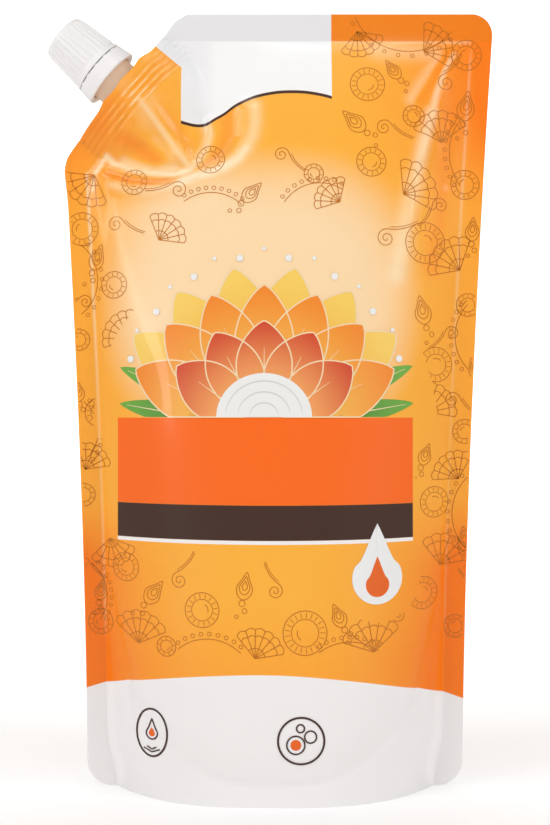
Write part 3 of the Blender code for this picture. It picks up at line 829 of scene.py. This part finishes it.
# %%
def helix(name, inner, crest, start_height, pitch, turns, half_root, half_crest, paint, segments=72):
    points, faces = [], []
    steps = int(segments * turns)
    for s in range(steps + 1):
        h = start_height + pitch * s / segments
        fade = float(smooth(min(s, steps - s) / (segments / 6)))
        top = inner + (crest - inner) * (0.1 + 0.9 * fade)
        for radius, lift in ((inner, -half_root), (top, -half_crest), (top, half_crest), (inner, half_root)):
            points.append(polar(radius, FULL * s / segments, h + lift))
    for s in range(steps):
        faces += crosswise(band_faces(4 * s, 4 * s + 4, 4))
    faces.append((0, 1, 2, 3))
    faces.append((4 * steps + 3, 4 * steps + 2, 4 * steps + 1, 4 * steps))
    return mesh_piece(name, points, faces, paint, SPOUT_FRAME)


thread = helix("neck_thread", inner=5.15, crest=5.65, start_height=9.3, pitch=2.7, turns=2.2,
               half_root=0.66, half_crest=0.27, paint=SPOUT_PE)
points, faces = [], []
BRIDGES = 14
for i in range(BRIDGES):
    n = len(points)
    middle = FULL * (i + 0.3) / BRIDGES
    points += [polar(radius, middle + turn_by, h)
               for turn_by in (-0.06, 0.06) for radius in (7.9, 8.15) for h in (6.4, 6.83)]
    faces += [(n, n + 1, n + 3, n + 2), (n + 4, n + 6, n + 7, n + 5), (n, n + 4, n + 5, n + 1),
              (n + 2, n + 3, n + 7, n + 6), (n, n + 2, n + 6, n + 4), (n + 1, n + 5, n + 7, n + 3)]
bridges = mesh_piece("bridge_stubs", points, faces, WHITE_PE, SPOUT_FRAME, shade=False)
print("thread faces", len(thread.data.polygons), "bridges", BRIDGES)

# %% [markdown]
# The cap has 32 rounded grip ribs with soft lower ends, a small flare at the foot and a slightly domed
# crown. It is hollow, with a roof 1.4 mm thick.

# %%
RIBS = 32
PER_RIB = 12
AROUND = RIBS * PER_RIB
CAP_TOP = 21.1
CEILING = 19.7
GRIP_LOW, GRIP_RUN = 8.7, 10.8


def rib_share(h):
    """How far the ribs stand out at height h: nothing on the flare, fading in and out at the ends."""
    return float(smooth((h - 8.4) / 0.8) * smooth((20 - h) / 1))


outer = [(8.25, 6.9), (8.25, 7.4), (8.1, 7.75), (7.92, 8.05), (7.8, 8.4)]
for i in range(15):
    h = GRIP_LOW + GRIP_RUN * i / 14
    outer.append((7.76 - 0.96 * (h - GRIP_LOW) / GRIP_RUN, h))
outer += [(6.73, 19.85), (6.64, 20.2), (6.45, 20.5), (6.15, 20.72), (5.7, 20.85), (4.6, 20.96), (2.9, 21.05)]
inner_profile = [(2.7, CEILING), (5.7, CEILING), (5.85, 19.5), (5.92, 18.2), (6.78, 7.6), (6.95, 7.2),
                 (7.05, 6.9)]
cap_points, cap_faces = [], []
round_axis = [FULL * i / AROUND for i in range(AROUND)]
for radius, h in outer:
    share = rib_share(h)
    for i, t in enumerate(round_axis):
        bump = max(0, cos(pi * ((i % PER_RIB) / PER_RIB * 2 - 1) * 0.78)) ** 0.8
        cap_points.append(polar(radius + 0.33 * share * (bump - 0.25), t, h))
crown = len(cap_points)
cap_points += [(0, 0, CAP_TOP), (0, 0, CEILING)]
first_inner = len(cap_points)
for radius, h in inner_profile:
    cap_points += [polar(radius, t, h) for t in round_axis]
for k in range(len(outer) - 1):
    cap_faces += band_faces(k * AROUND, (k + 1) * AROUND, AROUND)
top_ring = (len(outer) - 1) * AROUND
for i in range(AROUND):
    cap_faces.append((top_ring + i, top_ring + (i + 1) % AROUND, crown))
    cap_faces.append((crown + 1, first_inner + (i + 1) % AROUND, first_inner + i))
last_inner = first_inner + (len(inner_profile) - 1) * AROUND
for low in range(first_inner, last_inner, AROUND):
    cap_faces += band_faces(low, low + AROUND, AROUND)
cap_faces += band_faces(last_inner, 0, AROUND)
cap = mesh_piece("ribbed_cap", cap_points, cap_faces, WHITE_PE, SPOUT_FRAME)
disc = rounded([(0.02, 18.4), (5.45, 18.4), (5.45, 19.1), (0.02, 19.1)], 0.15, 2)
liner = turned("liner_disc", disc, 64, LINER_FOAM)
print("cap faces", len(cap.data.polygons))

# %% [markdown]
# Line art and simple printed motifs are thin pieces draped on the film. A motif is drawn flat in x and z,
# and all its points are lifted on to the film at once. Lines stop at the film's edge and at printed fields.

# %%
def free_for_lines(x, z):
    """Where the fine line drawing may run: on the film, off the label, the banner and the white base."""
    left, right = [edge(z * PRINT) / PRINT for edge in (left_edge, right_edge)]
    film = (x > left + 0.35) & (x < right - 0.35) & (z < 243.4)
    label = (x > -31.5) & (x < 18.4) & (z > 206)
    low, high = BANNER_ENDS
    banner = (x > low - 0.4) & (x < high + 0.4) & (z > LINE_LOW - 0.4) & (z < BANNER_TOP + 0.4)
    fan = (np.hypot(x + 3.3, z - 114) < 54) & (z > 110)
    drop = np.hypot(x - 31.4, z - 68) < 13.5
    base = z < 40.2 - 0.0029 * (x + 5) ** 2
    return film & ~(label | banner | fan | drop | base)


class Print:
    """Flat drawings in the print's units, draped on the front film."""

    def __init__(self, lift, clipped=False):
        self.lift = lift
        self.clipped = clipped
        self.flat = []
        self.faces = []

    def ribbon(self, line, width, closed=False, taper=False):
        line = np.array(line + [line[0]] if closed else line, dtype=float)
        line = line[np.append(True, np.hypot(*np.diff(line, axis=0).T) > 1e-6)]
        if len(line) < 2:
            return
        run = np.append(0, np.cumsum(np.hypot(*np.diff(line, axis=0).T)))
        count = max(3, int(run[-1] / 0.62) + 2)
        at = np.linspace(0, run[-1], count)
        x, z = np.interp(at, run, line[:, 0]), np.interp(at, run, line[:, 1])
        along = np.gradient(np.stack([x, z]), axis=1)
        along /= np.maximum(np.hypot(*along), 1e-9)
        half = np.full(count, 0.5 * width)
        if taper:
            half *= 0.35 + 0.65 * np.sin(pi * np.clip(at / run[-1], 0.02, 0.98))
        shown = free_for_lines(x, z) if self.clipped else np.full(count, True)
        first = len(self.flat)
        ax, az = -along[1] * half, along[0] * half
        for i in range(count):
            self.flat += [(x[i] + ax[i], z[i] + az[i]), (x[i] - ax[i], z[i] - az[i])]
        for i in range(count - 1):
            if shown[i] and shown[i + 1]:
                k = first + 2 * i
                self.faces.append((k, k + 1, k + 3, k + 2))

    def ring(self, cx, cz, radius, width, steps):
        self.ribbon(turn(arc(radius, 0, FULL, steps), 0, cx, cz), width)

    def sheet(self, lines):
        """A filled patch between lines that each have the same number of points."""
        self.faces += grid_faces(len(lines), len(lines[0]), len(self.flat))
        self.flat += [tuple(point) for line in lines for point in line]

    def fill(self, line, cx, cz, rings):
        """Fill an outline from its middle."""
        self.sheet([[(cx + f * (px - cx), cz + f * (pz - cz)) for px, pz in line + line[:1]]
                    for f in [max(0.002, k / rings) for k in range(rings + 1)]])

    def disc(self, cx, cz, radius, rings, spokes):
        self.sheet([turn(arc(radius * f, 0, FULL, spokes), 0, cx, cz)
                    for f in [max(0.002, k / rings) for k in range(rings + 1)]])

    def piece(self, name, paint):
        flat = np.array(self.flat) * PRINT
        used = sorted({v for f in self.faces for v in f})
        place = {v: i for i, v in enumerate(used)}
        flat = flat[used]
        out = depth(flat[:, 0], flat[:, 1], FRONT) + self.lift
        points = np.stack([flat[:, 0], -out, flat[:, 1]], axis=1)
        faces = []
        for f in self.faces:
            ring = [place[v] for v in f]
            x, z = flat[ring, 0], flat[ring, 1]
            area = np.dot(x, np.roll(z, -1)) - np.dot(z, np.roll(x, -1))
            faces.append(ring if area > 0 else ring[::-1])
        return mesh_piece(name, points, faces, paint, turn_out=False)


def turn(points, angle, cx, cz):
    c, s = cos(angle), sin(angle)
    return [(cx + px * c - pz * s, cz + px * s + pz * c) for px, pz in points]


def arc(radius, start, stop, steps=24):
    """Points on a circle round the origin."""
    return [polar(radius, start + (stop - start) * k / steps) for k in range(steps + 1)]


free = int(free_for_lines(grid_x / PRINT, grid_z / PRINT).sum())
print("line drawing may run on", free, "of", grid_x.size, "grid points")

# %% [markdown]
# The fine line drawing is a generic one, made of bubbles, scallop fans, falling drops, curls and dotted
# bows. It is densest along both sides, round the top seal and just above the white base.

# %%
LINE_W = 0.23


def bubble(art, cx, cz, radius, turned_by):
    """Rings in each other, with short rays between the outer two and a glint."""
    art.ring(cx, cz, radius, LINE_W, 40)
    art.ring(cx, cz, radius * 0.62, LINE_W * 0.85, 30)
    rays = max(8, int(radius * 3.2))
    for k in range(rays):
        ray = [polar(radius * f, turned_by + FULL * k / rays) for f in (0.68, 0.78, 0.92)]
        art.ribbon(turn(ray, 0, cx, cz), LINE_W * 0.8)
    art.ribbon(turn(arc(radius * 0.36, 1.9, 3.3, 10), turned_by, cx, cz), LINE_W)


def fan(art, cx, cz, radius, angle, ribs=6):
    """A scallop fan: three bows and straight ribs that meet at the foot."""
    spread, count = 1.05, ribs * 6
    for share in (1, 0.76, 0.36):
        bow = []
        for k in range(count + 1):
            wave = 1 + (0.07 * abs(sin(pi * k / 6)) if share > 0.5 else 0)
            bow.append(polar(radius * share * wave, -spread + 2 * spread * k / count))
        art.ribbon(turn(bow, angle, cx, cz), LINE_W)
    for k in range(ribs + 1):
        rib = [polar(radius * f, -spread + 2 * spread * k / ribs) for f in (0, 0.5, 1)]
        art.ribbon(turn(rib, angle, cx, cz), LINE_W)


def drops(art, cx, cz, angle, size, count=3):
    """Drops in each other, pointing one way, with small rings behind them."""
    for share in (1, 0.66, 0.34):
        line = []
        for k in range(41):
            t = FULL * k / 40
            line.append((size * share * (0.62 * cos(t) + 0.38 * cos(t) ** 3 + 0.15 * (1 - share)),
                         size * share * 0.52 * sin(t) * (1 - 0.62 * cos(t)) ** 0.9))
        art.ribbon(turn(line, angle, cx, cz), LINE_W)
    for k in range(count):
        away = size * (1.25 + 0.5 * k)
        sway = 0.3 * size * sin(2 * k)
        ring = [(away + px, sway + pz) for px, pz in arc(0.95 - 0.18 * k, 0, FULL, 14)]
        art.ribbon(turn(ring, angle + pi, cx, cz), LINE_W * 0.9)


def curl(art, cx, cz, angle, size, hand):
    """A spiral with a long tail."""
    line = [polar(size * (1 - 0.88 * t), hand * t * 11) for t in [k / 40 for k in range(41)]]
    tail = [(size + 1.2 * size * t * t, -hand * size * 3 * t) for t in [k / 12 for k in range(12, 0, -1)]]
    art.ribbon(turn(tail + line, angle, cx, cz), LINE_W)
    art.ribbon(turn([(px + 0.26 * size, pz) for px, pz in tail], angle, cx, cz), LINE_W * 0.8)


def dotted_bow(art, cx, cz, radius, start, stop, beads=9):
    art.ribbon(turn(arc(radius, start, stop), 0, cx, cz), LINE_W)
    for k in range(beads):
        bx, bz = polar(radius + 1.5, start + (stop - start) * (k + 0.5) / beads)
        art.ring(cx + bx, cz + bz, 0.62, LINE_W * 0.85, 12)


art = Print(0.06, clipped=True)
BUBBLES = [
    (-61, 176, 5.2), (-50.5, 158, 4.2), (-62, 141, 3.4), (-55.5, 118, 4.6), (-60.5, 92, 3.6),
    (-46.5, 70, 4.4), (-55, 52, 4), (-22, 58.5, 5.2), (-33, 47, 3), (9, 52, 6.6),
    (22, 68, 3.2), (46, 62, 5), (57, 50.5, 3.6), (50, 90, 4.8), (60, 112, 3.8),
    (50.5, 133, 5.4), (61, 152, 3.6), (47, 171, 6.4), (60, 190, 4.6), (30, 196, 4.6),
    (43.5, 211, 3.4), (29, 221, 5.4), (60.5, 231, 4.8), (-44, 190, 4), (-20, 196.5, 4.4),
    (12, 192, 3),
]
FANS = [
    (-57, 193, 9.5, -2.2), (-45.5, 141, 8.5, 2.4), (-60, 100, 8, 1.2), (-52, 78.5, 8.5, -1.3),
    (-42, 47, 9.5, 1.5), (-6, 44.5, 8.5, 1.2), (30, 45.5, 10, 1.75), (52, 70, 9.5, 1.2),
    (58, 97, 8.5, 2.1), (48, 118, 9, 0.9), (58.5, 163, 10, 2.3), (40, 186, 10.5, 0.6),
    (52.5, 203, 9.5, 1.7), (26, 238.5, 8, -1.2), (47, 232, 9, 0.5), (20, 183, 7.5, 2.4),
    (-36, 171.5, 8, 0.9),
]
DROPS = [
    (-56, 167, 1.2, 4.2), (-62.5, 125, 1.7, 3.6), (-37, 63, 0.9, 4.4), (-9, 66, 1.4, 4.2),
    (19, 57, 2, 3.8), (60, 78, 1.7, 4), (47, 105, 1.2, 3.6), (63, 132, 1.9, 3.4),
    (46, 150, 1.8, 4.6), (62.5, 176, 1.5, 3.8), (24.5, 209, 2.4, 4.6), (60.5, 215, 1.4, 4.8),
    (-7, 186, 0.8, 4), (-55, 62, 1.4, 3.4), (37, 226, 2.2, 3.6),
]
CURLS = [
    (-50, 177, 0.6, 2.6, 1), (-60, 153, 2.4, 2.2, -1), (-51.5, 128, 0.2, 2.4, 1), (-61, 70, 0.4, 2.4, 1),
    (-29, 67, 2, 2.6, 1), (0, 64.5, 1, 2.4, -1), (38, 56, 2.6, 2.4, 1), (62, 62, 1.2, 2, -1),
    (56, 122, 0.4, 2.6, 1), (56, 143, 2.8, 2.4, -1), (34.5, 172, 1.4, 3, 1), (52, 183, 3, 2.6, -1),
    (34, 207, 0.6, 2.6, 1), (54, 222, 2, 2.8, 1), (-30, 187, 2.2, 2.8, -1), (2, 198, 0.3, 2.4, 1),
]
BOWS = [
    (-70, 160, 14, -0.9, 0.9), (-68, 112, 12, -0.8, 0.9), (-66, 60, 13, -0.6, 0.9),
    (72, 86, 16, 2.3, 3.9), (72, 142, 15, 2.4, 3.9), (72, 200, 17, 2.4, 3.8),
    (42, 250, 18, 3.5, 5.6), (-20, 36, 14, 0.8, 2.3), (22, 34, 15, 0.9, 2.2),
    (14, 176, 13, 1, 2.6), (-20, 172, 14, 0.8, 2.2),
]
for cx, cz, radius in BUBBLES:
    bubble(art, cx, cz, radius, 0.1 * cx)
for draw, rows in ((fan, FANS), (drops, DROPS), (curl, CURLS), (dotted_bow, BOWS)):
    for row in rows:
        draw(art, *row)
LINE_INK = plastic("line_ink", (0.55, 0.165, 0.005), 0.3, 0.3)
line_art = art.piece("line_art", LINE_INK)
print("line art faces", len(line_art.data.polygons))

# %% [markdown]
# The picture on the real pack isn't copied. A generic ornament takes its place: an open fan of broad
# petals in the same warm colours, rising from a cream half-round, with two green blades and cream dots.

# %%
FAN_X, FAN_Z = -3.3, 113
FLOOR_LINE = 116.6
ACROSS = (-1, -0.75, -0.5, -0.25, 0, 0.25, 0.5, 0.75, 1)
motif_parts = []


def motif(drawing, name, paint):
    motif_parts.append(drawing.piece(name, paint))


def blend_material(name, inner, outer, near, far):
    """Colour that changes with the distance from the middle of the fan."""
    made = ink(name, outer)
    k, inputs = shading(made)
    place = k.place()
    dx = k.sub(k.mul(place["X"], UNITS), FAN_X)
    dz = k.sub(k.mul(place["Z"], UNITS), FAN_Z)
    away = k.op("SQRT", k.add(k.mul(dx, dx), k.mul(dz, dz)))
    k.put(inputs["Base Color"], k.mix(k.step(away, near, far), inner, outer))
    return made


def petal_lines(angle, length, width, start=0.16):
    """Rows across a petal that is broad and round at the end."""
    lines = []
    for k in range(31):
        t = start + (1 - start) * k / 30
        half = 0.5 * width * sin(pi * min(1, 0.03 + 0.97 * t) ** 1.35) ** 0.75
        row = turn([(length * t, half * f) for f in ACROSS], angle, FAN_X, FAN_Z)
        lines.append([(px, max(pz, FLOOR_LINE)) for px, pz in row])
    return lines


def petals(name, angles, length, width, paint, lift, rim, mark=0.75):
    """A row of petals, with a fine pale rim and a middle line on each."""
    fill = Print(lift)
    for angle in angles:
        lines = petal_lines(angle, length, width)
        fill.sheet(lines)
        left, right = [row[0] for row in lines], [row[-1] for row in lines]
        rim.ribbon(left + right[::-1], 0.42)
        rim.ribbon([row[4] for row in lines[3:int(30 * mark)]], 0.3, taper=True)
    motif(fill, name, paint)


YELLOW = blend_material("petal_yellow", (0.9, 0.36, 0.03), (0.94, 0.62, 0.12), 14, 50)
AMBER = blend_material("petal_amber", (0.93, 0.5, 0.09), (0.9, 0.22, 0.012), 14, 50)
RED = blend_material("petal_red", (0.95, 0.42, 0.13), (0.62, 0.03, 0.014), 8, 38)
GREEN = blend_material("blade_green", (0.04, 0.2, 0.02), (0.17, 0.42, 0.06), 14, 50)
CREAM = ink("cream_ink", (0.86, 0.845, 0.82))
SHADE = ink("cream_shade_ink", (0.7, 0.66, 0.62))
rims = [Print(lift) for lift in (0.075, 0.115, 0.155, 0.195)]
blades = Print(0.05)
for angle, length, width in ((0.17, 47, 7), (pi - 0.17, 46, 7), (0.4, 50, 7.5),
                             (pi - 0.4, 49, 7.5)):
    lines = petal_lines(angle, length, width)
    blades.sheet(lines)
    rims[0].ribbon([row[4] for row in lines[2:29]], 0.34, taper=True)
motif(blades, "motif_blades", GREEN)
petals("petals_back", [0.62 + 0.38 * k for k in range(6)], 50, 19, YELLOW, 0.09, rims[1])
petals("petals_middle", [0.43 + 0.38 * k for k in range(7)], 44, 18, AMBER, 0.13, rims[2])
petals("petals_front", [0.62 + 0.475 * k for k in range(5)], 33, 17, RED, 0.17, rims[3])
foot = Print(0.21)
foot_lines = Print(0.24)
FOOT_R = 14.5
half_turn = [pi * k / 60 for k in range(61)]
foot.sheet([[(FAN_X + f * FOOT_R * cos(t), FLOOR_LINE + f * FOOT_R * 0.92 * sin(t))
             for t in half_turn] for f in [0.002 + 0.998 * j / 12 for j in range(13)]])
for share in (0.8, 0.55, 0.3):
    bow = [(FAN_X + FOOT_R * share * px, FLOOR_LINE + 0.3 + 13.3 * share * pz)
           for px, pz in arc(1, 0.12, pi - 0.12, 30)]
    foot_lines.ribbon(bow, 0.45, taper=True)
for k in range(15):
    t = 0.42 + (pi - 0.84) * k / 14
    away, size = (55.2, 0.62) if k % 2 else (53, 1.05)
    foot.disc(FAN_X + away * cos(t) * 0.86, FAN_Z + away * sin(t), size, 3, 20)
motif(foot, "cream_foot", CREAM)
motif(foot_lines, "foot_lines", SHADE)
RIM_INK = ink("rim_ink", (0.93, 0.7, 0.42))
for k, rim in enumerate(rims):
    motif(rim, "petal_rims_" + str(k + 1), RIM_INK)
print("ornament pieces", len(motif_parts))

# %% [markdown]
# A white drop with a small orange one in it sits low on the right, and two ring signs stand in the white
# base: a drop over its rings, and three bubbles.

# %%
def drop_line(cx, cz, radius, tip):
    """Outline of a pointed drop from its tip down the right side, round and back: a circle and two flanks."""
    touch = acos(radius / tip)
    side = arc(radius, 0.5 * pi - touch, -1.5 * pi + touch, 48)
    flank = [(f * side[0][0], tip + f * (side[0][1] - tip)) for f in [k / 8 for k in range(8)]]
    flank = [(px * (1 - 0.16 * sin(pi * pz / tip) * (pz > 0)), pz) for px, pz in flank]
    back = [(-px, pz) for px, pz in flank[::-1]]
    return [(cx + px, cz + pz) for px, pz in flank + side + back]


DROP_X, SIGN_X = 31.2, -37.6
drop = Print(0.1)
drop.fill(drop_line(DROP_X, 67.6, 7.9, 16.6), DROP_X, 67.6, 12)
motif(drop, "white_drop", ink("drop_ink", (0.86, 0.86, 0.85)))
ORANGE_INK = ink("orange_ink", (0.82, 0.13, 0.008))
BROWN_INK = plastic("brown_ink", BROWN, 0.3, 0.35)
small_drop = Print(0.11)
small_drop.fill(drop_line(DROP_X, 65.6, 3.7, 8.6), DROP_X, 65.6, 8)
signs = Print(0.14)
for cx, cz, rx, rz in ((SIGN_X, 20.4, 4.9, 7.2), (7.8, 20.2, 6.9, 6.9)):
    signs.ribbon([(cx + rx * px, cz + rz * pz) for px, pz in arc(1, 0, FULL, 64)], 0.6)
signs.ribbon(drop_line(SIGN_X, 20.2, 1.8, 4.4), 0.45, closed=True)
for half in (1.5, 2.6):
    ends = 17 - 0.55 * half
    signs.ribbon([(SIGN_X - half, ends), (SIGN_X, 16.5 - 0.75 * half), (SIGN_X + half, ends)], 0.42)
for cx, cz, radius in ((6.2, 19, 2.7), (10.6, 21.4, 1.8), (7.6, 23.9, 1.2)):
    signs.ring(cx, cz, radius, 0.45, 30)
sign_fill = Print(0.06)
sign_fill.disc(6.2, 19, 1.6, 4, 24)
sign_fill.fill(drop_line(SIGN_X, 20.2, 1, 2.2), SIGN_X, 20.2, 4)
motif(small_drop, "small_drop", ORANGE_INK)
motif(signs, "ring_signs", BROWN_INK)
motif(sign_fill, "sign_fill", ORANGE_INK)
print("print pieces", [o.name for o in motif_parts])

# %% [markdown]
# Every piece rides on its CAD body, and the finer pieces take the place of the CAD ones.

# %%
for obj in [front_film, back_film, gusset_film, corner_strips, foot_top, neck, thread, band, bridges,
            line_art] + motif_parts:
    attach(obj, "pack")
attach(cap, "cap")
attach(liner, "liner")
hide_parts("pouch")
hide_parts("spout")
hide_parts("tamper_band")
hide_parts("screw_cap")
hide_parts("cap_liner")

# %% [markdown]
# A pale studio: a floor that curves up into a backdrop, a large soft light on each side and one above.

# %%
profile = [(-3, 0), (1.2, 0)]
for i in range(1, 13):
    a = 0.5 * pi * i / 12
    profile.append((1.2 + 0.6 * sin(a), 0.6 - 0.6 * cos(a)))
profile.append((1.8, 3))
points = [(end / MM, y / MM, h / MM) for end in (-3, 3) for y, h in profile]
n = len(profile)
faces = [(k, k + n, k + n + 1, k + 1) for k in range(n - 1)]
floor_paint = plastic("floor_paint", (0.9, 0.9, 0.9), 0.75)
k, inputs = shading(floor_paint)
inputs["Emission Color"].default_value = (1, 1, 1, 1)
k.put(inputs["Emission Strength"], k.add(0.16, k.mul(k.step(k.place()["Y"], -0.2, 0.9), 0.6)))
floor = mesh_piece("studio_floor", points, faces, floor_paint, turn_out=False)
floor.visible_glossy = False
PACK_MIDDLE, PRINT_MIDDLE = (0, 0, 0.11), (0, 0, 0.16)
for name, at, aim, width, height, watts in (
    ("fill_left", (-1.22, -0.82, 0.4), PACK_MIDDLE, 0.8, 1.4, 5.4),
    ("fill_right", (1.26, -0.8, 0.4), PACK_MIDDLE, 0.8, 1.4, 6.6),
    ("fill_top", (0, -0.9, 1.6), PACK_MIDDLE, 1.8, 0.8, 3.7),
    ("strip_left", (-0.9, -0.52, 0.6), PRINT_MIDDLE, 0.1, 0.8, 1.2),
    ("strip_right", (0.86, -0.56, 0.8), PRINT_MIDDLE, 0.1, 0.8, 1.4),
    ("strip_top", (-0.1, -0.55, 1.1), PRINT_MIDDLE, 1, 0.16, 1.6),
    ("spout_spot", (-0.75, -0.7, 0.8), (-0.03, 0, 0.19), 0.22, 0.22, 0.8),
):
    data = bpy.data.lights.new(name, "AREA")
    data.shape = "RECTANGLE"
    data.size, data.size_y, data.energy = width, height, watts
    lamp = bpy.data.objects.new(name, data)
    lamp.location = at
    lamp.rotation_euler = (Vector(aim) - Vector(at)).to_track_quat("-Z", "Y").to_euler()
    lamp.visible_glossy = not name.startswith("fill")
    bpy.context.scene.collection.objects.link(lamp)

world = bpy.data.worlds.new("studio")
bpy.context.scene.world = world
world.use_nodes = True
background = world.node_tree.nodes["Background"].inputs
background["Color"].default_value = (1, 1, 1, 1)
background["Strength"].default_value = 0.3
bpy.context.scene.view_settings.view_transform = "Standard"

camera_data = bpy.data.cameras.new("photo_camera")
camera_data.lens, camera_data.sensor_width = 74.4, 36
camera = bpy.data.objects.new("photo_camera", camera_data)
camera.location = (0, -0.4825, 0.1054)
camera.rotation_euler = (0.5 * pi, 0, 0)
bpy.context.scene.collection.objects.link(camera)
bpy.context.scene.camera = camera
print("camera", tuple(round(c, 3) for c in camera.location))
